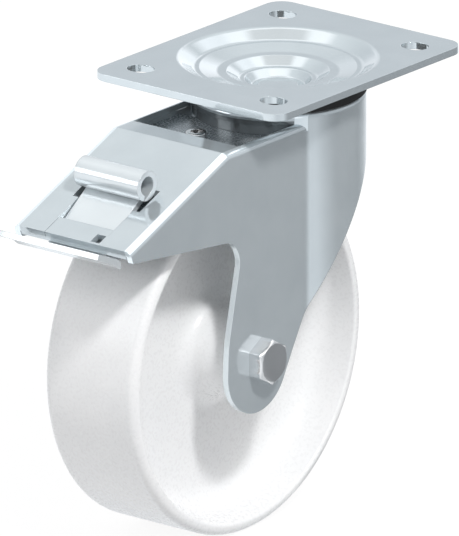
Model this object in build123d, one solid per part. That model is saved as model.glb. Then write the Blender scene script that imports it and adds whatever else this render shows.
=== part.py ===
from build123d import *
from math import asin, atan2, cos, degrees, hypot, radians, sin, sqrt, tan
import os

# A swivel castor with a total-stop brake: a pressed mounting plate, a pressed-steel fork with a
# hood, a two-row ball race, a one-piece nylon wheel on a roller bearing, and a foot pedal.
# Millimetres. The origin is the swivel axis at the mounting face of the plate.
# +X runs along the axle, +Y is the leading side, +Z is up. The pedal and the wheel trail at -Y.

# Mounting plate
plate_width = 110.0
plate_length = 140.0
plate_thickness = 3.5
plate_corner_radius = 9.0
bolt_spacing_x = 77.5
bolt_spacing_y = 105.0
slot_width = 11.0
slot_length = 13.5
dish_radius = 45.8
dish_bend = 4.0
dish_flat = 8.0
dish_steps = [(39.0, -4.3), (36.4, -4.3), (28.0, -6.3), (23.7, -6.4), (18.0, -10.0), (15.5, -10.0), (12.5, -13.5)]
dish_step_bends = [3.0, 0.5, 5.0, 0.5, 2.5, 0.5, 1.2]
centre_depth = 13.5
race_underside = -9.5
race_inner_radius = 25.5
race_outer_radius = 39.5
centre_edge_radius = 16.4
underside_bend = 2.0

# Swivel head
sheet = 3.0
head_radius = 40.6
head_top = -18.0
rim_rise = 3.6
shoulder_radius = 2.8
head_cup_depth = 7.0
cup_step = 0.8
cup_step_depth = 2.1
upper_ball_diameter = 9.525
upper_ball_circle = 31.0
upper_ball_count = 18
lower_ball_diameter = 6.35
lower_ball_circle = 22.0
lower_ball_count = 18
race_groove = 0.5
ball_clearance = 0.05
crown_bore_radius = 17.4
lower_race_thickness = 2.6
lower_race_seat_radius = 13.0
lower_race_slope = 24.0
lower_race_rim_radius = 28.5
lower_race_lip = 2.5
lower_race_bend = 1.5
kingpin_radius = 6.0
kingpin_head_radius = 9.5
kingpin_head_height = 0.8
kingpin_head_edge = 0.4
kingpin_nut_flats = 18.0
kingpin_nut_height = 10.0
kingpin_point = 3.4
thread_chamfer = 1.0
lock_ring_radius = 30.0
lock_ring_root_radius = 27.0
lock_ring_bore_radius = 12.5
lock_ring_thickness = 2.5
lock_ring_teeth = 24
seal_radius = 40.9
seal_wall = 1.6
seal_gap = 0.3
seal_seat_gap = 0.3
seal_foot_gap = 0.1
seal_bevel = 0.8

# Fork and hood
fork_half_width = 34.0
crease_radius = 7.0
hood_bend_radius = 3.4
fold_radius = 3.4
roof_drop = 1.63
roof_rear = -68.0
roof_fold = -80.1
hood_slope = 22.0
hood_reach = -151.5
hood_flange_depth = 6.5
hood_root_height = -63.7
hood_root_y = -68.6
hood_root_radius = 12.0
leg_waist_y = -79.3
leg_waist_rise = 12.4
leg_waist_radius = 60.0
leg_end_radius = 21.8
leg_end_y = -58.2
leg_end_drop = 2.9
leg_edge_angle = 61.0
leg_edge_mid_y = 2.1
leg_edge_mid_z = -73.3
skirt_front_z = -27.0
bolt_hole_clearance = 0.2

# Wheel, axle and roller bearing
wheel_radius = 84.5
tread_width = 53.0
tread_top = -40.3
tread_edge_radius = 4.0
rim_thickness = 5.5
rim_lip_radius = 1.5
rim_root_thickness = 10.0
rim_root_radius = 14.0
web_thickness = 9.0
web_taper = 1.0
hub_radius = 19.0
hub_root_radius = 22.0
hub_flare_radius = 9.0
hub_edge_radius = 1.0
bore_edge_radius = 0.5
axle_y = -55.0
axle_bolt_diameter = 12.0
axle_bolt_flats = 19.0
axle_head_height = 7.5
axle_nut_height = 12.0
nut_collar_radius = 8.4
nut_collar_height = 2.5
axle_bolt_point = 3.0
axle_tube_radius = 10.0
roller_diameter = 4.8
roller_count = 12
roller_length = 44.0
roller_chamfer = 0.4
cage_wall = 2.6
cage_end = 3.0
cage_gap = 0.1
running_clearance = 0.05
thrust_washer_radius = 17.1
thrust_washer_thickness = 3.3
thrust_washer_gap = 0.2

# Pedal
pedal_sheet = 2.7
pedal_half_width = 30.0
neck_half_width = 15.5
roll_half_length = 18.5
roll_radius = 7.2
roll_y = -119.6
roll_z = -28.0
roll_open_angle = 250.0
foot_edge_y = -169.0
foot_edge_z = -45.7
foot_bend_y = -155.5
foot_bend_z = -51.5
foot_bend_radius = 6.0
heel_y = -150.9
heel_z = -55.2
heel_radius = 2.0
foot_wing_gap = 1.4
pedal_slot_gap = 0.5
roll_slot_gap = 1.0
roll_slot_front = -111.5
roll_slot_back = -126.5
pedal_pin_y = -128.1
pedal_pin_z = -48.8
pedal_pin_radius = 3.0
pedal_lug_radius = 6.0
cam_offset = 12.0
cam_drop = 3.0
cam_radius = 4.5
cam_rise_y = -126.0
lug_root = 0.6
bracket_sheet = 2.5
bracket_radius = 6.5
bracket_gap = 0.1
bracket_reach = 25.5
bracket_back = 8.0
bracket_front = 6.5
pedal_pin_end = 0.8
pedal_pin_chamfer = 0.4

# Brake rocker and its bridge
bridge_sheet = 2.5
bridge_front_y = -33.0
bridge_back_y = -70.0
rocker_sheet = 2.8
rocker_half_width = 15.5
rocker_pin_y = -52.0
rocker_pin_z = -34.6
rocker_pin_radius = 2.0
rocker_pin_head = 1.0
rocker_lug_radius = 4.0
rocker_lug_gap = 0.5
rocker_top = -29.3
rocker_nose_y = -26.5
nose_bend_y = -38.0
nose_step_y = -44.5
arm_start_y = -61.5
arm_end_y = -106.0
arm_end_z = -45.0
heel_start_y = -123.6
rocker_end_y = -142.1
heel_start_rise = 0.1
rocker_cam_gap = 0.45
rocker_bends = [4.0, 6.0, 8.0, 10.0, 6.0]
tooth_gap = 1.5
tooth_y = -28.5
tooth_width = 3.0
tooth_length = 4.0
tooth_height = 2.0
shoe_gap = 2.8
shoe_back_y = -99.5
shoe_front_y = -88.0
shoe_half_width = 14.0
adjuster_y = -60.5
adjuster_head_radius = 5.0
adjuster_head_height = 4.6
adjuster_radius = 3.0
adjuster_head_edge = 0.8
adjuster_socket_flats = 5.0
adjuster_socket_depth = 2.5
adjuster_gap = 0.3

# Places worked out from the sizes above
plate_floor = -centre_depth - plate_thickness
upper_ball_radius = upper_ball_diameter / 2
lower_ball_radius = lower_ball_diameter / 2
upper_ball_z = race_underside + race_groove - ball_clearance - upper_ball_radius
crown_underside = head_top - sheet
rim_top = head_top + rim_rise
rim_inner = head_radius - sheet
lower_ball_z = crown_underside + race_groove - ball_clearance - lower_ball_radius
lower_race_top = lower_ball_z - lower_ball_radius - ball_clearance + race_groove
lower_race_underside = lower_race_top - lower_race_thickness
lock_ring_underside = lower_race_underside - lock_ring_thickness
roof_top = head_top - roof_drop
axle_z = tread_top - wheel_radius
leg_end_z = axle_z - leg_end_drop
leg_waist_z = axle_z + leg_waist_rise
slope = radians(hood_slope)
hood_edge_z = roof_top + (hood_reach - roof_fold) * tan(slope)
cup_bottom = head_top - head_cup_depth
leg_inner = fork_half_width - sheet
bolt_radius = axle_bolt_diameter / 2
hub_half = leg_inner - thrust_washer_thickness - thrust_washer_gap
bearing_bore = axle_tube_radius + roller_diameter + 2 * running_clearance
dish_rim = dish_radius + dish_flat
lower_race_seat = plate_floor - lower_race_thickness
kingpin_bottom = lower_race_seat - kingpin_nut_height - kingpin_point
seal_top = race_underside - seal_gap
seal_seat_radius = upper_ball_circle + upper_ball_radius + seal_seat_gap
roller_circle = axle_tube_radius + roller_diameter / 2 + running_clearance
neck_angle = atan2(roll_z - heel_z, roll_y - heel_y) - asin(
    (roll_radius - pedal_sheet) / hypot(roll_z - heel_z, roll_y - heel_y))
wing_y = hood_reach - foot_wing_gap
cam_bottom = pedal_pin_z - cam_drop - cam_radius
rocker_nose_top = lock_ring_underside - tooth_gap - tooth_height

# Reach of shapes that only cut others: well past the part, below all of it, and right through it
overrun = 20.0
deep = -200.0
through = 60.0


def side_plane(x):
    """A sketch plane across the axle: its first axis is Y, its second is Z."""
    return Plane(origin=(x, 0, 0), x_dir=(0, 1, 0), z_dir=(1, 0, 0))


def across(face, half_width):
    """A side-view face, drawn in Y and Z, carried to both sides of the middle plane."""
    return extrude(side_plane(0) * face, amount=half_width, both=True)


def cheek(face, inner, outer):
    """A side-view face made into a plate between two distances along +X."""
    return extrude(side_plane(inner) * face, amount=outer - inner)


def both_sides(solid):
    """The solid and its mirror image across the middle plane."""
    return solid + mirror(solid, about=Plane.YZ)


def turned(face):
    """A face drawn as radius and height, turned round the swivel axis."""
    return revolve(Plane.XZ * face, axis=Axis.Z)


def ring(outer, inner, bottom, top):
    """A plain ring about the swivel axis."""
    return turned(Pos((outer + inner) / 2, (top + bottom) / 2) * Rectangle(outer - inner, top - bottom))


def disc(radius, bottom, top):
    """A plain disc about the swivel axis."""
    return Pos(0, 0, (top + bottom) / 2) * Cylinder(radius, top - bottom)


def axle_cylinder(radius, start, end):
    """A cylinder about the axle between two distances along X."""
    return Pos((start + end) / 2, axle_y, axle_z) * Rot(0, 90, 0) * Cylinder(radius, end - start)


def axle_ring(outer, inner, start, end):
    """A ring about the axle between two distances along X."""
    return axle_cylinder(outer, start, end) - axle_cylinder(inner, start - 1, end + 1)


def cross_pin(y, z, radius, half_length):
    """A pin along X."""
    return Pos(0, y, z) * Rot(0, 90, 0) * Cylinder(radius, 2 * half_length)


def box_between(x, y, z):
    """A box given by its limits along each axis."""
    size = [high - low for low, high in (x, y, z)]
    return Pos((x[0] + x[1]) / 2, (y[0] + y[1]) / 2, (z[0] + z[1]) / 2) * Box(*size)


def balls(radius, circle, z, count):
    """A row of separate balls about the swivel axis."""
    return [place * Sphere(radius) for place in Pos(0, 0, z) * PolarLocations(circle, count)]


def parallel(points, radii, distance):
    """The corners and bend radii of the line that lies beside another, on its right."""
    normals = []
    for (x0, y0), (x1, y1) in zip(points, points[1:]):
        length = hypot(x1 - x0, y1 - y0)
        normals.append(((y1 - y0) / length, (x0 - x1) / length))
    corners = [(points[0][0] + distance * normals[0][0], points[0][1] + distance * normals[0][1])]
    bends = []
    for point, before, after, radius in zip(points[1:-1], normals, normals[1:], radii):
        share = distance / (1 + before[0] * after[0] + before[1] * after[1])
        corners.append((point[0] + share * (before[0] + after[0]), point[1] + share * (before[1] + after[1])))
        turns_left = before[0] * after[1] - before[1] * after[0] > 0
        bends.append(radius + distance if turns_left else radius - distance)
    last = points[-1]
    corners.append((last[0] + distance * normals[-1][0], last[1] + distance * normals[-1][1]))
    return corners, bends


def pressed(points, radii, thickness):
    """The section of a bent sheet, which lies on the right of the line through the points."""
    corners, bends = parallel(points, radii, thickness)
    near = FilletPolyline(*points, radius=radii)
    far = FilletPolyline(*corners, radius=bends)
    ends = [Line(points[0], corners[0]), Line(points[-1], corners[-1])]
    return make_face([*near.edges(), *far.edges(), *[end.edge() for end in ends]])


def hexagon(flats, height, chamfer_share=0.92):
    """A hexagon of nut or bolt-head form, standing on the XY plane, with its top corners chamfered."""
    corner = flats / 2 / cos(radians(30))
    face_radius = flats / 2 * chamfer_share
    body = extrude(RegularPolygon(flats / 2, 6, major_radius=False), amount=height)
    round_form = Pos(0, 0, height / 2) * Cylinder(corner, height)
    drop = (corner - face_radius) * tan(radians(30))
    top = round_form.edges().group_by(Axis.Z)[-1]
    return body & chamfer(top, length=drop, length2=corner - face_radius)


def save(name, *solids):
    """Write one sub-part, of one solid or of several separate ones."""
    shape = solids[0] if len(solids) == 1 else Compound(children=list(solids))
    export_step(shape, "parts/" + name + ".step")


def hood_line(inset, y):
    """Height of the hood's slanted sheet at y, measured on a face that lies inset below the top one."""
    return roof_top - inset / cos(slope) + (y - roof_fold) * tan(slope)


def make_top_plate():
    top = FilletPolyline(
        (dish_rim, 0), (dish_radius, 0), *dish_steps, (kingpin_radius, -centre_depth),
        radius=[dish_bend, *dish_step_bends])
    slope_run = dish_rim - dish_radius - underside_bend
    under = FilletPolyline(
        (kingpin_radius, plate_floor), (centre_edge_radius, plate_floor), (race_inner_radius, race_underside),
        (race_outer_radius, race_underside), (race_outer_radius + slope_run, -plate_thickness),
        (dish_rim, -plate_thickness), radius=underside_bend)
    sides = [Line(under @ 1, top @ 0), Line(top @ 1, under @ 0)]
    floor = make_face([*top.edges(), *under.edges(), *[side.edge() for side in sides]])
    outline = RectangleRounded(plate_width, plate_length, plate_corner_radius)
    slots = [place * SlotOverall(slot_length, slot_width)
             for place in GridLocations(bolt_spacing_x, bolt_spacing_y, 2, 2)]
    flat = extrude(outline - slots - Circle(dish_rim), amount=-plate_thickness)
    groove = Pos(0, 0, upper_ball_z) * Torus(upper_ball_circle, upper_ball_radius + ball_clearance)
    return flat + turned(floor) - groove


def make_kingpin():
    head = Pos(0, 0, -centre_depth) * Cylinder(
        kingpin_head_radius, kingpin_head_height, align=(Align.CENTER, Align.CENTER, Align.MIN))
    head = fillet(head.edges().group_by(Axis.Z)[-1], kingpin_head_edge)
    shank = disc(kingpin_radius, kingpin_bottom, -centre_depth)
    return head + chamfer(shank.edges().group_by(Axis.Z)[0], thread_chamfer)


def make_kingpin_nut():
    bolt_hole = disc(kingpin_radius, deep, 0)
    nut = Pos(0, 0, lower_race_seat) * Rot(180, 0, 0) * hexagon(kingpin_nut_flats, kingpin_nut_height)
    return nut - bolt_hole


def make_lower_race():
    cone = (plate_floor - lower_race_top) * tan(radians(lower_race_slope))
    section = pressed(
        [(kingpin_radius, plate_floor), (lower_race_seat_radius, plate_floor),
         (lower_race_seat_radius + cone, lower_race_top),
         (lower_race_rim_radius - lower_race_lip, lower_race_top),
         (lower_race_rim_radius, lower_race_top + lower_race_lip)],
        [lower_race_thickness + lower_race_bend, lower_race_bend, lower_race_bend], lower_race_thickness)
    groove = Pos(0, 0, lower_ball_z) * Torus(lower_ball_circle, lower_ball_radius + ball_clearance)
    return turned(section) - groove


def make_lock_ring():
    body = ring(lock_ring_root_radius, lock_ring_bore_radius, lock_ring_underside, lower_race_underside)
    pitch = 360 / lock_ring_teeth
    width = tan(radians(pitch / 2)) * lock_ring_root_radius
    tooth = box_between((lock_ring_root_radius - 1, lock_ring_radius), (-width / 2, width / 2),
                        (lock_ring_underside, lower_race_underside))
    for i in range(lock_ring_teeth):
        body += Rot(0, 0, (i + 0.5) * pitch) * tooth
    return body


def make_seal():
    inner = seal_radius - seal_wall
    foot = rim_inner - seal_foot_gap
    section = Polyline(
        (seal_seat_radius, head_top), (foot, head_top), (foot, rim_top), (seal_radius, rim_top),
        (seal_radius, seal_top - seal_bevel), (seal_radius - seal_bevel, seal_top), (inner, seal_top),
        (inner, rim_top + seal_wall), (seal_seat_radius, rim_top + seal_wall), close=True)
    return turned(make_face(section))


def fork_head():
    """The outside of the fork's round head, filled: a raised rim round the sunk crown."""
    body = disc(head_radius, deep, rim_top)
    body = fillet(body.edges().group_by(Axis.Z)[-1], shoulder_radius)
    return body - disc(rim_inner, head_top, 0)


def fork_hood(inset):
    """The hood with its two flat side walls, filled; inset gives the inner face of the sheet."""
    fold = (roof_fold + inset * tan(slope / 2), roof_top - inset)
    low = hood_reach - overrun
    half = fork_half_width - inset
    profile = make_face(FilletPolyline(
        (0, deep), (0, roof_top - inset), fold, (low, hood_line(inset, low)), (low, deep),
        radius=[0, fold_radius - inset, 0, 0, 0], close=True))
    body = across(profile, half)
    bends = [edge for edge in body.edges()
             if abs(abs(edge.center().X) - half) < 0.01 and edge.center().Z > deep / 2
             and edge.bounding_box().size.Y > 0.01]
    return fillet(bends, hood_bend_radius - inset)


def fork_crease(inset):
    """The hollow bend where each flat side wall runs into the round cup."""
    radius = head_radius - inset
    half = fork_half_width - inset
    meet = -sqrt(radius ** 2 - half ** 2)
    plan = Circle(radius) + Pos(0, -(radius + overrun) / 2) * Rectangle(2 * half, radius + overrun)
    corners = [v for v in plan.vertices() if abs(v.Y - meet) < 0.01]
    plan = fillet(corners, crease_radius + inset)
    return Pos(0, 0, deep) * extrude(plan, amount=roof_top - hood_bend_radius - deep)


def fork_outline():
    """Everything that the side view of the fork keeps, as a face in Y and Z."""
    normal = (sin(slope), -cos(slope))
    hood_front = (hood_reach, hood_edge_z)
    flange = (hood_front[0] + hood_flange_depth * normal[0], hood_front[1] + hood_flange_depth * normal[1])
    above = (hood_front[0] - overrun * normal[0], hood_front[1] - overrun * normal[1])
    back = FilletPolyline(
        flange, (hood_root_y, hood_root_height), (leg_waist_y, leg_waist_z),
        (leg_end_y - leg_end_radius, leg_end_z),
        radius=[hood_root_radius, leg_waist_radius])
    edge = radians(leg_edge_angle)
    middle = radians(225 + leg_edge_angle / 2)
    front_end = (leg_end_y + leg_end_radius * sin(edge), leg_end_z - leg_end_radius * cos(edge))
    end = ThreePointArc(
        (leg_end_y - leg_end_radius, leg_end_z),
        (leg_end_y + leg_end_radius * cos(middle), leg_end_z + leg_end_radius * sin(middle)),
        front_end)
    skirt = (head_radius + 1, skirt_front_z)
    front = ThreePointArc(front_end, (leg_edge_mid_y, leg_edge_mid_z), skirt)
    top = Polyline(skirt, (skirt[0], overrun), (above[0], overrun), above, flange)
    return make_face([*back.edges(), end.edge(), front.edge(), *top.edges()])


def make_fork():
    outside = fork_head() + fork_hood(0) + fork_crease(0)
    inside = disc(rim_inner, deep, crown_underside) + fork_hood(sheet) + fork_crease(sheet)
    fork = (outside - inside) & across(fork_outline(), through)
    step_z = head_top - cup_step_depth
    fork += ring(head_radius, rim_inner, step_z, crown_underside + sheet / 2)
    fork += ring(head_radius - cup_step, rim_inner, cup_bottom, crown_underside)
    recess_half = fork_half_width - hood_bend_radius
    recess = box_between((-recess_half, recess_half), (roof_rear, 0),
                         (cup_bottom, head_top))
    recess -= disc(head_radius, step_z, 0) + disc(head_radius - cup_step, deep, step_z)
    slot_depth = (hood_edge_z - overrun, roof_top)
    neck_slot = box_between((-neck_half_width - pedal_slot_gap, neck_half_width + pedal_slot_gap),
                            (hood_reach - overrun, roll_slot_front), slot_depth)
    roll_slot = box_between((-roll_half_length - roll_slot_gap, roll_half_length + roll_slot_gap),
                            (roll_slot_back, roll_slot_front), slot_depth)
    fork = fork - recess - neck_slot - roll_slot
    fork -= disc(crown_bore_radius, deep, 0)
    fork -= Pos(0, 0, upper_ball_z) * Torus(upper_ball_circle, upper_ball_radius + ball_clearance)
    fork -= Pos(0, 0, lower_ball_z) * Torus(lower_ball_circle, lower_ball_radius + ball_clearance)
    return fork - axle_cylinder(bolt_radius + bolt_hole_clearance, -through, through)


def make_axle_bolt():
    head = Pos(fork_half_width, axle_y, axle_z) * Rot(0, 90, 0) * hexagon(axle_bolt_flats, axle_head_height)
    end = -fork_half_width - axle_nut_height - axle_bolt_point
    shank = axle_cylinder(bolt_radius, end, fork_half_width)
    return head + chamfer(shank.edges().group_by(Axis.X)[0], thread_chamfer)


def make_axle_nut():
    flats_height = axle_nut_height - nut_collar_height
    nut = Pos(-fork_half_width, axle_y, axle_z) * Rot(0, -90, 0) * hexagon(axle_bolt_flats, flats_height)
    collar = axle_cylinder(nut_collar_radius, -fork_half_width - axle_nut_height, -fork_half_width)
    return nut + collar - axle_cylinder(bolt_radius, -through, 0)


def make_wheel():
    right = FilletPolyline(
        (0, wheel_radius), (tread_width / 2, wheel_radius), (tread_width / 2, wheel_radius - rim_thickness),
        (web_thickness / 2, wheel_radius - rim_root_thickness),
        (web_thickness / 2 + web_taper, hub_root_radius),
        (hub_half, hub_radius), (hub_half, bearing_bore), (0, bearing_bore),
        radius=[tread_edge_radius, rim_lip_radius, rim_root_radius, hub_flare_radius, hub_edge_radius,
                bore_edge_radius])
    left = mirror(right, about=Plane.YZ)
    section = make_face([*right.edges(), *left.edges()])
    placed = Plane(origin=(0, axle_y, axle_z), x_dir=(1, 0, 0), z_dir=(0, -1, 0)) * section
    return revolve(placed, axis=Axis((0, axle_y, axle_z), (1, 0, 0)))


def around_axle(radius, count):
    """Places spread evenly round the axle."""
    return [Pos(0, axle_y, axle_z) * Rot(360 * i / count, 0, 0) * Pos(0, 0, radius) * Rot(0, 90, 0)
            for i in range(count)]


def make_rollers():
    roller = Cylinder(roller_diameter / 2, roller_length)
    roller = chamfer(roller.edges(), roller_chamfer)
    return [place * roller for place in around_axle(roller_circle, roller_count)]


def make_roller_cage():
    half = roller_length / 2 + cage_end
    cage = axle_ring(roller_circle + cage_wall / 2, roller_circle - cage_wall / 2, -half, half)
    for place in around_axle(roller_circle, roller_count):
        cage -= place * Cylinder(roller_diameter / 2 + cage_gap, roller_length + 4 * cage_gap)
    return cage


def pedal_section():
    """The side view of the pedal's sheet: foot plate, heel, neck and roll."""
    inner = roll_radius - pedal_sheet
    angle = neck_angle
    touch = (roll_y + inner * sin(angle), roll_z - inner * cos(angle))
    far_touch = (roll_y + roll_radius * sin(angle), roll_z - roll_radius * cos(angle))
    points = [(foot_edge_y, foot_edge_z), (foot_bend_y, foot_bend_z), (heel_y, heel_z), touch]
    radii = [foot_bend_radius, heel_radius]
    corners, bends = parallel(points, radii, pedal_sheet)
    near = FilletPolyline(*points, radius=radii)
    far = FilletPolyline(*corners[:-1], far_touch, radius=bends)
    start = degrees(angle) - 90
    near_roll = CenterArc((roll_y, roll_z), inner, start, roll_open_angle - start)
    far_roll = CenterArc((roll_y, roll_z), roll_radius, start, roll_open_angle - start)
    ends = [Line(points[0], corners[0]), Line(near_roll @ 1, far_roll @ 1)]
    return make_face([*near.edges(), *far.edges(), near_roll.edge(), far_roll.edge(),
                      *[end.edge() for end in ends]])


def make_pedal():
    blank = across(pedal_section(), pedal_half_width)
    tall = (deep, 0)
    roll = cross_pin(roll_y, roll_z, roll_radius, roll_half_length)
    beside_neck = box_between((neck_half_width, pedal_half_width + 1), (wing_y, 0), tall)
    blank -= both_sides(beside_neck) - roll
    plates = cheek(pedal_lug(), neck_half_width - pedal_sheet, neck_half_width)
    blank += both_sides(plates)
    return blank - cross_pin(pedal_pin_y, pedal_pin_z, pedal_pin_radius + running_clearance, through)


def pedal_lug():
    """The side view of the pedal's lug, with its cam, under the neck."""
    cam = (pedal_pin_y - cam_offset, pedal_pin_z - cam_drop)
    root = [(y, neck_top(y) - pedal_sheet * lug_root) for y in (heel_y, cam[0], cam_rise_y, roll_y)]
    form = make_hull([
        *(Pos(pedal_pin_y, pedal_pin_z) * Circle(pedal_lug_radius)).edges(),
        *(Pos(*cam) * Circle(cam_radius)).edges(), Line(root[1], root[2]).edge()])
    return form & make_face(Polyline(root[0], root[3], (roll_y, deep), (heel_y, deep), close=True))


def neck_top(y):
    """Height of the neck's top face at y."""
    return heel_z + (y - heel_y) * tan(neck_angle)


def make_pedal_bracket():
    """The bracket on the +X side: a flange under the hood's sheet and a cheek round the pin."""
    back = pedal_pin_y - bracket_back
    front = pedal_pin_y + bracket_front
    flange = make_face(Polyline(
        (back, hood_line(sheet, back)), (front, hood_line(sheet, front)),
        (front, hood_line(sheet + bracket_sheet, front)), (back, hood_line(sheet + bracket_sheet, back)),
        close=True))
    plate = make_hull([*flange.edges(), *(Pos(pedal_pin_y, pedal_pin_z) * Circle(bracket_radius)).edges()])
    plate &= make_face(Polyline(
        (hood_reach, hood_line(sheet, hood_reach)), (roof_fold, hood_line(sheet, roof_fold)),
        (roof_fold, deep), (hood_reach, deep), close=True))
    inner = neck_half_width + pedal_slot_gap + bracket_gap
    bracket = cheek(flange, inner, bracket_reach) + cheek(plate, inner, inner + bracket_sheet)
    return bracket - cross_pin(pedal_pin_y, pedal_pin_z, pedal_pin_radius, through)


def make_pedal_pin():
    end = neck_half_width + pedal_slot_gap + bracket_gap + bracket_sheet + pedal_pin_end
    pin = cross_pin(pedal_pin_y, pedal_pin_z, pedal_pin_radius, end)
    return chamfer(pin.edges().filter_by(GeomType.CIRCLE), pedal_pin_chamfer)


def bridge_ear(radius):
    """The side view of a lug that hangs from the bridge or the rocker round the rocker's pin."""
    top = cup_bottom - bridge_sheet
    return (Pos(rocker_pin_y, rocker_pin_z) * Circle(radius)
            + Pos(rocker_pin_y, (top + rocker_pin_z) / 2) * Rectangle(2 * radius, top - rocker_pin_z))


def make_brake_bridge():
    plate = box_between((-leg_inner, leg_inner), (bridge_back_y, bridge_front_y),
                        (cup_bottom - bridge_sheet, cup_bottom))
    inner = rocker_half_width + rocker_lug_gap
    ears = both_sides(cheek(bridge_ear(rocker_lug_radius), inner, inner + bridge_sheet))
    bridge = plate + ears - cross_pin(rocker_pin_y, rocker_pin_z, rocker_pin_radius, through)
    return bridge - Pos(0, adjuster_y, cup_bottom) * Cylinder(adjuster_radius, overrun)


def make_rocker():
    section = pressed(
        [(rocker_nose_y, rocker_nose_top), (nose_bend_y, rocker_nose_top), (nose_step_y, rocker_top),
         (arm_start_y, rocker_top), (arm_end_y, arm_end_z), (heel_start_y, cam_bottom + heel_start_rise),
         (rocker_end_y, cam_bottom - rocker_cam_gap)],
        rocker_bends, -rocker_sheet)
    body = across(section, rocker_half_width)
    lug = bridge_ear(rocker_lug_radius) & (
        Pos(rocker_pin_y, rocker_top - rocker_sheet / 2 - overrun) * Rectangle(2 * overrun, 2 * overrun))
    body += both_sides(cheek(lug, rocker_half_width - rocker_sheet, rocker_half_width))
    tooth = box_between((-tooth_width / 2, tooth_width / 2),
                        (tooth_y - tooth_length / 2, tooth_y + tooth_length / 2),
                        (rocker_nose_top - rocker_sheet / 2, lock_ring_underside - tooth_gap))
    bore = cross_pin(rocker_pin_y, rocker_pin_z, rocker_pin_radius + running_clearance, through)
    return body + tooth - bore


def make_rocker_pin():
    end = rocker_half_width + rocker_lug_gap + bridge_sheet
    pin = cross_pin(rocker_pin_y, rocker_pin_z, rocker_pin_radius, end)
    head = Pos(end + rocker_pin_head / 2, rocker_pin_y, rocker_pin_z) * Rot(0, 90, 0) * Cylinder(
        rocker_pin_radius + rocker_pin_head, rocker_pin_head)
    return pin + both_sides(head)


def make_brake_shoe(rocker):
    """The shoe fills the space between the rocker's arm and a circle just outside the tread."""
    middle = [(y, rocker_arm(y) - rocker_sheet / 2) for y in (shoe_back_y, shoe_front_y)]
    block = across(make_face(Polyline(
        *middle, (shoe_front_y, axle_z), (shoe_back_y, axle_z), close=True)), shoe_half_width)
    return block - rocker - axle_cylinder(wheel_radius + shoe_gap, -tread_width, tread_width)


def rocker_arm(y):
    """Height of the top face of the rocker's straight arm at y."""
    return rocker_top + (y - arm_start_y) * (arm_end_z - rocker_top) / (arm_end_y - arm_start_y)


def make_adjuster():
    head = Pos(0, adjuster_y, cup_bottom) * Cylinder(
        adjuster_head_radius, adjuster_head_height, align=(Align.CENTER, Align.CENTER, Align.MIN))
    head = fillet(head.edges().group_by(Axis.Z)[-1], adjuster_head_edge)
    bottom = rocker_top + adjuster_gap
    stem = Pos(0, adjuster_y, (cup_bottom + bottom) / 2) * Cylinder(adjuster_radius, cup_bottom - bottom)
    socket = Pos(0, adjuster_y, cup_bottom + adjuster_head_height) * extrude(
        RegularPolygon(adjuster_socket_flats / 2, 6, major_radius=False), amount=-adjuster_socket_depth)
    return head + stem - socket


os.makedirs("parts", exist_ok=True)

save("top_plate", make_top_plate())
save("kingpin", make_kingpin())
save("kingpin_nut", make_kingpin_nut())
save("lower_race", make_lower_race())
save("lock_ring", make_lock_ring())
save("upper_balls", *balls(upper_ball_radius, upper_ball_circle, upper_ball_z, upper_ball_count))
save("lower_balls", *balls(lower_ball_radius, lower_ball_circle, lower_ball_z, lower_ball_count))
save("swivel_seal", make_seal())
save("fork", make_fork())
save("axle_bolt", make_axle_bolt())
save("axle_nut", make_axle_nut())
save("axle_tube", axle_ring(axle_tube_radius, bolt_radius + 0.1, -leg_inner, leg_inner))
washer = axle_ring(thrust_washer_radius, axle_tube_radius, hub_half + thrust_washer_gap, leg_inner)
save("thrust_washers", washer, mirror(washer, about=Plane.YZ))
save("wheel", make_wheel())
save("rollers", *make_rollers())
save("roller_cage", make_roller_cage())
save("pedal", make_pedal())
bracket = make_pedal_bracket()
save("pedal_bracket_right", bracket)
save("pedal_bracket_left", mirror(bracket, about=Plane.YZ))
save("pedal_pin", make_pedal_pin())
save("brake_bridge", make_brake_bridge())
rocker = make_rocker()
save("brake_rocker", rocker)
save("rocker_pin", make_rocker_pin())
save("brake_shoe", make_brake_shoe(rocker))
save("adjusting_screw", make_adjuster())
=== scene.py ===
import math

import bmesh
import bpy
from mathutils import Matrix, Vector


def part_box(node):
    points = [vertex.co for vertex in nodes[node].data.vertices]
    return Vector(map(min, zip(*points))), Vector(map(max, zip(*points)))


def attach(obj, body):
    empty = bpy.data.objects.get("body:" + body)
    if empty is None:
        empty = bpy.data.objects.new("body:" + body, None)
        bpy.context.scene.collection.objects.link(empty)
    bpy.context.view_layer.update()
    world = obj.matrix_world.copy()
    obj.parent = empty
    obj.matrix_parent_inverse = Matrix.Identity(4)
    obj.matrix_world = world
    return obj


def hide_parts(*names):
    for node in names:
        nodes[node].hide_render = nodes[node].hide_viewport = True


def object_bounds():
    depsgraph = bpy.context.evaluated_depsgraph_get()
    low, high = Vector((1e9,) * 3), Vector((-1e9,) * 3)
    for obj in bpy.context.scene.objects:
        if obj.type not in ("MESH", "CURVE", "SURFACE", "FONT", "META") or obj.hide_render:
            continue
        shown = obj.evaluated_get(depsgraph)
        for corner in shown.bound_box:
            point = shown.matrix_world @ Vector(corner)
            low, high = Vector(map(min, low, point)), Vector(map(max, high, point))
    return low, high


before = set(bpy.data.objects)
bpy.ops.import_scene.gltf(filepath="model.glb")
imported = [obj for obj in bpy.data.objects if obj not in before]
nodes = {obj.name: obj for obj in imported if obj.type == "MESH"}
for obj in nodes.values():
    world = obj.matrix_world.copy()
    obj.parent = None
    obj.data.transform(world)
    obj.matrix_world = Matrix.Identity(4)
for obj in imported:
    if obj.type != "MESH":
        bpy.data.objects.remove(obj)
cad_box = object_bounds()
scene = bpy.context.scene
MM = 0.001

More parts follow.
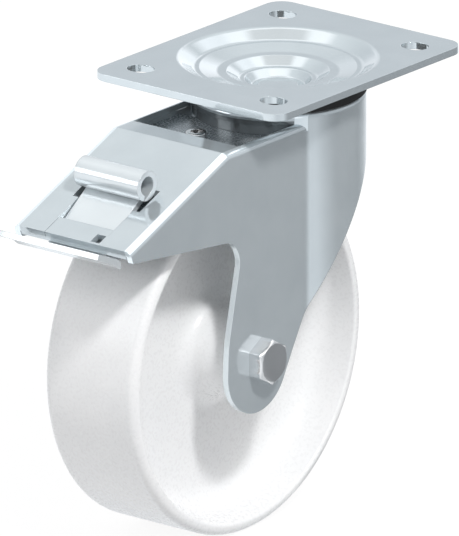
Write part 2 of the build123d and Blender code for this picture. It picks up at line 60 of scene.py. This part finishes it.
# Camera: the photograph is a parallel view, so the lens is very long and stands far away
SENSOR = 36.0
LENS = 1400.0
HALF_HEIGHT = 0.1231
TARGET = Vector((0.0, -0.03597, -0.09262))
TO_CAMERA = Vector((0.5898, -0.7441, 0.3137)).normalized()
CLIP_FACTOR = 3

# Hexagons of the axle's bolt and nut: the flat face's share of the width, and the curve of the chamfer
AXLE = (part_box("wheel")[0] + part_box("wheel")[1]) / 2
STEPS = 96
SHARP_ANGLE = math.radians(28)
THIRTY = math.radians(30)
FLATS = 19 * MM
FACE_SHARE = 0.92
FACE_EDGE = 0.985
CHAMFER_CURVE = (0.8, 0.55, 0.3)
CORNER = 0.12 * MM

# The bolt and its M12 thread; its point is given by places from the end and what is off the radius there
BOLT_RADIUS = 6 * MM
HEAD_HEIGHT = 7.5 * MM
POINT = ((0.0, 1.9 * MM), (0.9 * MM, 1.0 * MM))
PITCH = 1.75 * MM
THREAD_DEPTH = 0.55
THREAD_START = 1.0 * MM
THREAD_LENGTH = 20 * MM
THREAD_SLICES = 7
RUN_OUT = 0.5 * MM

# The nut, in section and in millimetres: the collar by places from its end and what is off its radius,
# and the nylon ring in it by places from the ring's front and how far out from the bore
BORE_GAP = 0.05 * MM
COLLAR_RADIUS = 8.4 * MM
COLLAR_SECTION = ((2.5, 0.0), (0.8, 0.0), (0.25, 0.25), (0.0, 0.8), (0.0, 1.3), (0.5, 1.5))
COLLAR_FLOOR = 0.6 * MM
RING_FRONT = 0.55 * MM
RING_SECTION = ((0.0, 0.0), (-0.15, 0.2), (-0.15, 0.6), (0.0, 0.8), (0.04, 0.3))

# The slanted sheet of the hood: the strip behind the neck, its square hole, and the lip of its rear edge
HOOD_SLOPE = math.radians(22.0)
HOOD_SHEET = 3 * MM
FOLD_Y = -80.1 * MM
FOLD_Z = -19.63 * MM
STRIP_LENGTH = 10.7 * MM
STRIP_HALF_WIDTH = 16 * MM
SEAM = 0.3 * MM
HOLE_X = 12.7 * MM
HOLE_Y = -147.9 * MM
HOLE_HALF = 2.6 * MM
LIP_HALF_WIDTH = 30.6 * MM
LIP_DEPTH = 5.0 * MM
LIP_LENGTH = 2.0 * MM

# Places with painted light: painted shade on the cup in the recess, a painted highlight on the fork's cut
# edges, and painted shade at the pedal foot's far tip
CUP_SHADE_BOX = (Vector((0, -32.5 * MM, -23 * MM)), Vector((30.5 * MM, 12.5 * MM, 5 * MM)))
CUP_SHADE = 0.35
SIDE_WALL_MIDDLE = 32.5 * MM
SIDE_WALL_HALF = 1.9 * MM
SIDEWAYS = 0.85
CUT_EDGE_HIGHLIGHT = 1.5
FOOT_TIP = (-29 * MM, -17 * MM)
FOOT_TIP_SHADE = 0.45

# Surfaces: noise runs from low to high, and its scales are in waves for each metre
NOISE_LOW = 0.3
NOISE_HIGH = 0.7
ZINC_CLOUDS = 45.0
ZINC_GRAIN = 900.0
ZINC_ROLLED = (1, 1, 4)
NYLON_CLOUDS = 30.0
NYLON_PEEL = 700.0
RUBBER_GRAIN = 1200.0
RUBBER_PALER = 1.6
RUBBER_LIFT = 0.004
EDGE_SAMPLES = 6

# Plain light on the castor, and its lamps: direction, size, watts, and whether metal sees them
DAYLIGHT = (0.985, 0.99, 1.0, 1.0)
WHITE = (1.0, 1.0, 1.0, 1.0)
WORLD_STRENGTH = 0.57
LAMP_DISTANCE = 2.0
LAMPS = (
    ("key", (0.58, -0.25, 0.78), 0.22, 24.0, True),
    ("left_fill", (-0.6, -0.75, 0.3), 0.7, 4.5, True),
    ("back_fill", (-0.8, 0.5, 0.4), 0.9, 9.0, False),
)

# The room that metal sees: its tone by height, low windows across it, and a glow high beside the castor
MIRROR_TOP = 2.0
BESIDE = (0.784, 0.621, 0.0)
ROOM = (
    (0.0, (0.31, 0.33, 0.35)), (0.31, (0.35, 0.37, 0.39)), (0.80, (0.52, 0.54, 0.55)), (0.86, 0.80),
    (0.93, 0.80), (0.96, 0.5))
WINDOWS = (
    (0.30, 0.1), (0.36, 0.45), (0.43, 0.35), (0.485, 0.0), (0.52, 0.0), (0.57, 0.9), (0.70, 0.9),
    (0.80, 0.1))
WINDOW_HEIGHT = ((0.36, 1.0), (0.5, 0.0))
GLOW_SIDE = ((0.66, 0.0), (0.75, 1.0))
GLOW_HEIGHT = ((0.5, 0.0), (0.65, 1.0))
GLOW_TONE = (0.75, 0.76, 0.78)

# The floor, nearly white to the camera; metal sees it darkest on the camera's right
FLOOR_Z = cad_box[0].z
FLOOR_SIZE = 12.0
FLOOR_GAP = 0.2 * MM
FLOOR_GREY = (0.55, 0.55, 0.55, 1.0)
FLOOR_ROUGH = 0.9
FLOOR_GLOW = 0.8
FLOOR_WHITE = 1.15
MIRROR_FLOOR = 2.0
DARK_CORNER = (0.643, 0.766, 0.0)
FLOOR_TONES = (
    (0.0, (0.66, 0.68, 0.70)), (0.3, (0.58, 0.60, 0.62)), (0.52, (0.42, 0.44, 0.46)),
    (0.80, (0.46, 0.48, 0.50)), (0.96, (0.17, 0.18, 0.19)))


class Nodes:
    """A node tree, and short ways to add what this script needs to it."""

    def __init__(self, tree):
        self.tree = tree

    def add(self, kind, sockets=None, **settings):
        """A new node with its settings and what goes into its sockets."""
        node = self.tree.nodes.new("ShaderNode" + kind)
        for key, value in settings.items():
            setattr(node, key, value)
        self.feed(node, sockets or {})
        return node

    def feed(self, node, sockets):
        """Gives sockets, by name or number, a value of their own or another node's output."""
        for key, value in sockets.items():
            if isinstance(value, bpy.types.NodeSocket):
                self.tree.links.new(value, node.inputs[key])
            else:
                node.inputs[key].default_value = value

    def ramp(self, value, stops):
        """A colour that runs through stops, each a place from 0 to 1 and its colour or grey."""
        node = self.add("ValToRGB", {"Fac": value})
        elements = node.color_ramp.elements
        while len(elements) < len(stops):
            elements.new(0.5)
        for element, (place, tone) in zip(elements, stops):
            element.position = place
            element.color = (*tone, 1.0) if isinstance(tone, tuple) else (tone, tone, tone, 1.0)
        return node.outputs["Color"]

    def remap(self, value, start, end, low=0.0, high=1.0):
        """The value's run from start to end, as a run from low to high."""
        sockets = {"Value": value, "From Min": start, "From Max": end, "To Min": low, "To Max": high}
        return self.add("MapRange", sockets).outputs["Result"]

    def maths(self, operation, *values, clamp=False):
        return self.add("Math", dict(enumerate(values)), operation=operation, use_clamp=clamp).outputs[0]

    def facing(self, direction, axis):
        """Zero where the direction is opposite to the axis and one where it is along it."""
        dot = self.add("VectorMath", {0: direction, 1: axis}, operation="DOT_PRODUCT")
        return self.remap(dot.outputs["Value"], -1.0, 1.0)

    def split(self, vector):
        node = self.add("SeparateXYZ", {"Vector": vector})
        return node.outputs["X"], node.outputs["Y"], node.outputs["Z"]

    def mixed(self, colour, share, other, blend="MIX"):
        """The colour, mixed with or multiplied by another where the share is one."""
        sockets = {"Factor": share, 6: colour, 7: (*other, 1.0)}
        return self.add("Mix", sockets, data_type="RGBA", blend_type=blend).outputs[2]

    def either(self, share, first, second):
        """The first shader where the share is zero and the second where it is one."""
        return self.add("MixShader", {"Fac": share, 1: first, 2: second}).outputs[0]

    def seen_by(self, *rays):
        """One for the named kinds of ray and zero for the others."""
        path = self.add("LightPath")
        total = path.outputs[rays[0]]
        for ray in rays[1:]:
            total = self.maths("MAXIMUM", total, path.outputs[ray])
        return total


class Look(Nodes):
    """A material, which starts with its Principled shader and the place on the piece."""

    def __init__(self, name):
        self.material = bpy.data.materials.new(name)
        self.material.use_nodes = True
        super().__init__(self.material.node_tree)
        self.shader = self.tree.nodes["Principled BSDF"]
        self.place = self.add("TexCoord").outputs["Object"]

    def noise(self, scale, detail, rough=0.5, stretch=(1, 1, 1)):
        mapping = self.add("Mapping", {"Vector": self.place, "Scale": stretch})
        sockets = {"Vector": mapping.outputs["Vector"], "Scale": scale, "Detail": detail, "Roughness": rough}
        return self.add("TexNoise", sockets).outputs["Fac"]

    def clouds(self, noise, dark, light):
        return self.ramp(noise, ((NOISE_LOW, dark), (NOISE_HIGH, light)))

    def tinted(self, colour, share, tint):
        """The colour, multiplied by a tint where the share is one."""
        return self.mixed(colour, share, (tint, tint, tint), "MULTIPLY")

    def finish(self, colour, grain, rough, strength, depth, edge):
        """The colour, a grain that varies the roughness and stands out in relief, and rounded edges."""
        rounded = self.add("Bevel", {"Radius": edge}, samples=EDGE_SAMPLES).outputs["Normal"]
        sockets = {"Strength": strength, "Distance": depth, "Height": grain, "Normal": rounded}
        relief = self.add("Bump", sockets).outputs["Normal"]
        self.feed(self.shader, {
            "Base Color": colour,
            "Roughness": self.remap(grain, NOISE_LOW, NOISE_HIGH, *rough),
            "Normal": relief,
        })

    def distance(self, value, middle):
        return self.maths("ABSOLUTE", self.maths("SUBTRACT", value, middle))

    def in_box(self, middle, half):
        """One inside a box that is given by its middle and half its size."""
        inside = None
        for place, centre, reach in zip(self.split(self.place), middle, half):
            near = self.maths("LESS_THAN", self.distance(place, centre), reach)
            inside = near if inside is None else self.maths("MULTIPLY", inside, near)
        return inside

    def highlight_edges(self, middle, half):
        """One on the sheared edges and bends of the two walls beside the middle plane, where a painted
        highlight goes.
        """
        own_normal = self.add("TexCoord").outputs["Normal"]
        across = self.maths("ABSOLUTE", self.split(self.place)[0])
        near = self.maths("LESS_THAN", self.distance(across, middle), half)
        sideways = self.maths("ABSOLUTE", self.split(own_normal)[0])
        return self.maths("MULTIPLY", near, self.maths("LESS_THAN", sideways, SIDEWAYS))


def zinc(name, dark, light, rough, metallic=1.0, edge=0.4 * MM):
    """Bright zinc plating: faint cloudy tone, rolled grain and softly rounded edges."""
    look = Look(name)
    look.colour = look.clouds(look.noise(ZINC_CLOUDS, detail=4.0), dark, light)
    grain = look.noise(ZINC_GRAIN, detail=2.0, rough=0.6, stretch=ZINC_ROLLED)
    spread = (rough - 0.03, rough + 0.05)
    look.finish(look.colour, grain, rough=spread, strength=0.03, depth=0.1 * MM, edge=edge)
    look.feed(look.shader, {"Metallic": metallic})
    return look


def fork_zinc():
    """The fork's plating, with a painted highlight on sheared edges and bends and painted shade on the cup
    inside the recess.
    """
    look = zinc("zinc_sheet", (0.56, 0.61, 0.635), (0.60, 0.65, 0.675), rough=0.09, metallic=0.55)
    # painted highlight: the sheared edges and bends of the side walls are made paler
    colour = look.tinted(look.colour, look.highlight_edges(SIDE_WALL_MIDDLE, SIDE_WALL_HALF), CUT_EDGE_HIGHLIGHT)
    # painted shade: the cup's plating is darkened inside the recess, where the plate shades it
    colour = look.tinted(colour, look.in_box(*CUP_SHADE_BOX), CUP_SHADE)
    look.feed(look.shader, {"Base Color": colour})
    return look.material


def pedal_zinc():
    """The pedal's plating, made paler than the fork's as a painted highlight, with painted shade towards the
    foot's far tip.
    """
    # painted highlight: a paler copy of the fork's zinc plating
    look = zinc("zinc_pedal_lit", (0.68, 0.72, 0.74), (0.72, 0.76, 0.78), rough=0.16, metallic=0.45)
    # painted shade: the plating grows darker towards the foot's far tip
    tip = look.remap(look.split(look.place)[0], FOOT_TIP[1], FOOT_TIP[0])
    look.feed(look.shader, {"Base Color": look.tinted(look.colour, tip, FOOT_TIP_SHADE)})
    return look.material


def nylon():
    """White nylon: faint clouds and a fine peel."""
    look = Look("nylon")
    colour = look.clouds(look.noise(NYLON_CLOUDS, detail=3.0), (0.88, 0.885, 0.89), (0.92, 0.92, 0.92))
    peel = look.noise(NYLON_PEEL, detail=2.0)
    look.finish(colour, peel, rough=(0.24, 0.34), strength=0.02, depth=0.1 * MM, edge=0.5 * MM)
    look.feed(look.shader, {"Specular IOR Level": 0.5})
    return look.material


def rubber(name, colour, rough):
    """Dark rubber or plastic, which is a little paler in its grain."""
    look = Look(name)
    grain = look.noise(RUBBER_GRAIN, detail=3.0)
    tone = look.clouds(grain, colour, tuple(c * RUBBER_PALER + RUBBER_LIFT for c in colour))
    spread = (rough - 0.06, rough + 0.08)
    look.finish(tone, grain, rough=spread, strength=0.15, depth=0.2 * MM, edge=0.3 * MM)
    return look.material


SHEET = fork_zinc()
LIT_PEDAL = pedal_zinc()
PLATE = zinc("zinc_plate", (0.58, 0.63, 0.655), (0.62, 0.67, 0.695), rough=0.08, metallic=0.75).material
# painted shade: a darker, duller copy of the plating for the brackets, brake bridge and rocker, which sit in
# the fork's shade
SHADED_INNER = zinc("zinc_inner_shaded", (0.40, 0.43, 0.45), (0.46, 0.49, 0.51), rough=0.25, metallic=0.6).material
BOLT = zinc("zinc_bolt", (0.62, 0.62, 0.62), (0.70, 0.70, 0.70), rough=0.13, edge=0.15 * MM).material
RACE = zinc("race_steel", (0.55, 0.56, 0.58), (0.62, 0.63, 0.64), rough=0.22).material
BALL = zinc("ball_steel", (0.80, 0.80, 0.81), (0.84, 0.84, 0.85), rough=0.06).material
BEARING = zinc("bearing_steel", (0.60, 0.60, 0.62), (0.66, 0.66, 0.68), rough=0.18).material
NYLON = nylon()
SEAL = rubber("seal_rubber", (0.004, 0.004, 0.004), rough=0.75)
CAGE = rubber("cage_plastic", (0.025, 0.025, 0.028), rough=0.35)
SHOE = rubber("shoe_rubber", (0.02, 0.02, 0.02), rough=0.6)

LOOKS = {
    PLATE: ("top_plate", "kingpin"),
    SHEET: ("fork",),
    LIT_PEDAL: ("pedal",),
    SHADED_INNER: ("pedal_bracket_right", "pedal_bracket_left", "brake_bridge", "brake_rocker"),
    BOLT: ("kingpin_nut", "axle_bolt", "axle_nut", "pedal_pin", "rocker_pin", "adjusting_screw"),
    RACE: ("lower_race", "lock_ring"),
    BALL: ("upper_balls", "lower_balls"),
    BEARING: ("axle_tube", "rollers"),
    NYLON: ("wheel",),
    SEAL: ("swivel_seal",),
    CAGE: ("thrust_washers", "roller_cage"),
    SHOE: ("brake_shoe",),
}
for material, names in LOOKS.items():
    for name in names:
        nodes[name].data.materials.clear()
        nodes[name].data.materials.append(material)


def hex_radius(turn):
    """Radius of the hexagon, with slightly rounded corners, at an angle from one of its corners."""
    off = (turn % math.radians(60)) - THIRTY
    return min(FLATS / 2 / math.cos(off), FLATS / 2 / math.cos(THIRTY) - CORNER)


def thread_radius(x, turn):
    """Radius of the vee thread at a place along it and an angle round it."""
    phase = (x / PITCH - turn / (2 * math.pi)) % 1.0
    return BOLT_RADIUS - THREAD_DEPTH * PITCH * abs(2 * phase - 1)


def hexagon(seat, step, height):
    """Rings from the seat of a hexagon to the rim of its flat face, which cuts its corners at 30 degrees."""
    face = FLATS / 2 * FACE_SHARE
    top = seat + step * height
    cut = (FLATS / 2 / math.cos(THIRTY) - face) * math.tan(THIRTY)

    def chamfered(share):
        return lambda turn: face + (hex_radius(turn) - face) * share

    rings = [(seat, hex_radius), (top - step * cut, hex_radius)]
    rings += [(top - step * cut * share * share, chamfered(share)) for share in CHAMFER_CURVE]
    rings.append((top, face * FACE_EDGE))
    return rings


def along_axle(name, body, material, rings, closed=False):
    """A piece about the axle; each ring is a place along X and a radius that may depend on the angle."""
    mesh = bmesh.new()
    loops = []
    for x, radius in rings:
        loop = []
        for i in range(STEPS):
            turn = 2 * math.pi * i / STEPS
            size = radius(turn) if callable(radius) else radius
            loop.append(mesh.verts.new((x, AXLE.y + size * math.sin(turn), AXLE.z + size * math.cos(turn))))
        loops.append(loop)
    pairs = list(zip(loops, loops[1:]))
    if closed:
        pairs.append((loops[-1], loops[0]))
    for near, far in pairs:
        for i in range(STEPS):
            j = (i + 1) % STEPS
            mesh.faces.new((near[i], near[j], far[j], far[i]))
    if not closed:
        mesh.faces.new(loops[0])
        mesh.faces.new(loops[-1])
    return placed(name, mesh, body, material)


def placed(name, mesh, body, material):
    """A finished mesh as a piece that rides on a body, smooth but for its sharp edges."""
    bmesh.ops.recalc_face_normals(mesh, faces=mesh.faces)
    data = bpy.data.meshes.new(name)
    mesh.to_mesh(data)
    mesh.free()
    data.shade_smooth()
    data.set_sharp_from_angle(angle=SHARP_ANGLE)
    data.materials.append(material)
    piece = bpy.data.objects.new(name, data)
    scene.collection.objects.link(piece)
    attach(piece, body)
    return piece


def make_axle_bolt():
    """The hexagon-head bolt, with its thread cut at the nut's end."""
    low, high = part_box("axle_bolt")
    seat = high.x - HEAD_HEIGHT
    rings = [(low.x + place, BOLT_RADIUS - off) for place, off in POINT]
    x = low.x + THREAD_START
    while x < low.x + THREAD_LENGTH:
        rings.append((x, lambda turn, x=x: thread_radius(x, turn)))
        x += PITCH / THREAD_SLICES
    rings += [(x + RUN_OUT, BOLT_RADIUS), (seat, BOLT_RADIUS)]
    rings += hexagon(seat, 1, HEAD_HEIGHT)
    piece = along_axle("bolt_dressed", "swivel_head", BOLT, rings)
    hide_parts("axle_bolt")


def make_axle_nut():
    """The locking nut, with the collar that grips its nylon ring."""
    low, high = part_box("axle_nut")
    bore = BOLT_RADIUS + BORE_GAP
    collar = [(low.x + place * MM, COLLAR_RADIUS - off * MM) for place, off in COLLAR_SECTION]
    rings = [(high.x, bore)] + hexagon(high.x, -1, high.x - collar[0][0])
    rings += collar + [(low.x + COLLAR_FLOOR, bore)]
    piece = along_axle("nut_dressed", "swivel_head", BOLT, rings, closed=True)
    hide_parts("axle_nut")
    front = low.x + RING_FRONT
    insert = [(front + place * MM, bore + out * MM) for place, out in RING_SECTION]
    along_axle("nut_insert", "swivel_head", NYLON, insert, closed=True)


def on_hood(x, y, depth):
    """A point of the hood's slanted sheet, at a depth below its top face."""
    z = FOLD_Z + (y - FOLD_Y) * math.tan(HOOD_SLOPE) - depth * math.cos(HOOD_SLOPE)
    return Vector((x, y + depth * math.sin(HOOD_SLOPE), z))


def make_hood_sheet(name, across, along, cells, top, bottom):
    """A piece of the hood's slanted sheet from the cells of a grid, between two depths."""
    mesh = bmesh.new()
    places = {(i, j): on_hood(x, y, top) for i, x in enumerate(across) for j, y in enumerate(along)}
    sink = on_hood(0, 0, bottom) - on_hood(0, 0, top)
    upper = {key: mesh.verts.new(place) for key, place in places.items()}
    lower = {key: mesh.verts.new(place + sink) for key, place in places.items()}
    for i, j in cells:
        outline = ((i, j), (i + 1, j), (i + 1, j + 1), (i, j + 1))
        beyond = ((i, j - 1), (i + 1, j), (i, j + 1), (i - 1, j))
        for layer in (upper, lower):
            mesh.faces.new([layer[key] for key in outline])
        for near, far, neighbour in zip(outline, outline[1:] + outline[:1], beyond):
            if neighbour not in cells:
                mesh.faces.new((upper[near], upper[far], lower[far], lower[near]))
    placed(name, mesh, "swivel_head", SHEET)


def make_hood_strip():
    """The hood's sheet between the neck and the rear edge: a seam on its left and a square hole."""
    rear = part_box("fork")[0].y
    across = (SEAM - STRIP_HALF_WIDTH, HOLE_X - HOLE_HALF, HOLE_X + HOLE_HALF, STRIP_HALF_WIDTH)
    along = (rear, HOLE_Y - HOLE_HALF, HOLE_Y + HOLE_HALF, rear + STRIP_LENGTH)
    hole = (1, 1)
    cells = [(i, j) for i in range(3) for j in range(3) if (i, j) != hole]
    make_hood_sheet("hood_strip", across, along, cells, 0.0, HOOD_SHEET)


def make_hood_lip():
    """The turned-down lip under the hood's rear edge, which ends just above the pedal."""
    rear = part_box("fork")[0].y
    across = (-LIP_HALF_WIDTH, -STRIP_HALF_WIDTH, STRIP_HALF_WIDTH, LIP_HALF_WIDTH)
    cells = [(i, 0) for i in range(3)]
    make_hood_sheet("hood_lip", across, (rear, rear + LIP_LENGTH), cells, HOOD_SHEET, LIP_DEPTH)


def make_world():
    """Even studio light; the camera sees white, and metal sees a bright room."""
    world = bpy.data.worlds.new("studio")
    scene.world = world
    world.use_nodes = True
    room = Nodes(world.node_tree)
    plain = room.tree.nodes["Background"]
    room.feed(plain, {"Color": DAYLIGHT, "Strength": WORLD_STRENGTH})
    direction = room.add("TexCoord").outputs["Generated"]
    height = room.split(direction)[2]
    side = room.facing(direction, BESIDE)
    beside = room.maths("MULTIPLY", room.ramp(side, GLOW_SIDE), room.ramp(height, GLOW_HEIGHT))
    windows = (room.ramp(height, WINDOW_HEIGHT), room.ramp(side, WINDOWS))
    glow = room.maths("MULTIPLY_ADD", *windows, beside, clamp=True)
    tone = room.mixed(room.ramp(height, ROOM), glow, GLOW_TONE)
    mirror = room.add("Background", {"Color": tone, "Strength": MIRROR_TOP})
    white = room.add("Background", {"Color": WHITE})
    lit = room.either(room.seen_by("Is Glossy Ray"), plain.outputs[0], mirror.outputs[0])
    seen = room.either(room.seen_by("Is Camera Ray", "Is Transmission Ray"), lit, white.outputs[0])
    room.feed(room.tree.nodes["World Output"], {"Surface": seen})


def make_floor():
    """A pale floor, nearly white to the camera; metal sees it shaded across the room."""
    bpy.ops.mesh.primitive_plane_add(size=FLOOR_SIZE, location=(0, 0, FLOOR_Z - FLOOR_GAP))
    floor = bpy.context.object
    floor.name = "floor"
    look = Look("floor")
    look.feed(look.shader, {"Base Color": FLOOR_GREY, "Roughness": FLOOR_ROUGH})
    matt = look.shader.outputs[0]
    away = look.add("VectorMath", {0: look.place}, operation="NORMALIZE").outputs["Vector"]
    around = look.ramp(look.facing(away, DARK_CORNER), FLOOR_TONES)
    shade = look.add("Emission", {"Color": around, "Strength": MIRROR_FLOOR})
    white = look.add("Emission", {"Strength": FLOOR_WHITE})
    lit = look.either(look.seen_by("Is Glossy Ray"), matt, shade.outputs[0])
    pale = look.either(FLOOR_GLOW, matt, white.outputs[0])
    seen = look.either(look.seen_by("Is Camera Ray", "Is Transmission Ray"), lit, pale)
    look.feed(look.tree.nodes["Material Output"], {"Surface": seen})
    floor.data.materials.append(look.material)


def make_lamp(name, direction, size, energy, mirrored):
    """A soft square lamp that faces the castor; metal sees it only if it is mirrored."""
    data = bpy.data.lights.new(name, "AREA")
    data.size = size
    data.energy = energy
    lamp = bpy.data.objects.new(name, data)
    toward = Vector(direction).normalized()
    lamp.location = TARGET + toward * LAMP_DISTANCE
    lamp.rotation_euler = toward.to_track_quat("Z", "Y").to_euler()
    lamp.visible_glossy = mirrored
    scene.collection.objects.link(lamp)


def make_camera():
    """The photograph's view, from so far away that its rays are nearly parallel."""
    data = bpy.data.cameras.new("camera")
    data.sensor_width = SENSOR
    data.lens = LENS
    camera = bpy.data.objects.new("camera", data)
    distance = HALF_HEIGHT * LENS / (SENSOR / 2)
    camera.location = TARGET + TO_CAMERA * distance
    camera.rotation_euler = TO_CAMERA.to_track_quat("Z", "Y").to_euler()
    data.clip_end = distance * CLIP_FACTOR
    scene.collection.objects.link(camera)
    scene.camera = camera


make_axle_bolt()
make_axle_nut()
make_hood_strip()
make_hood_lip()
make_world()
make_floor()
for lamp in LAMPS:
    make_lamp(*lamp)
make_camera()
scene.view_settings.view_transform = "Standard"
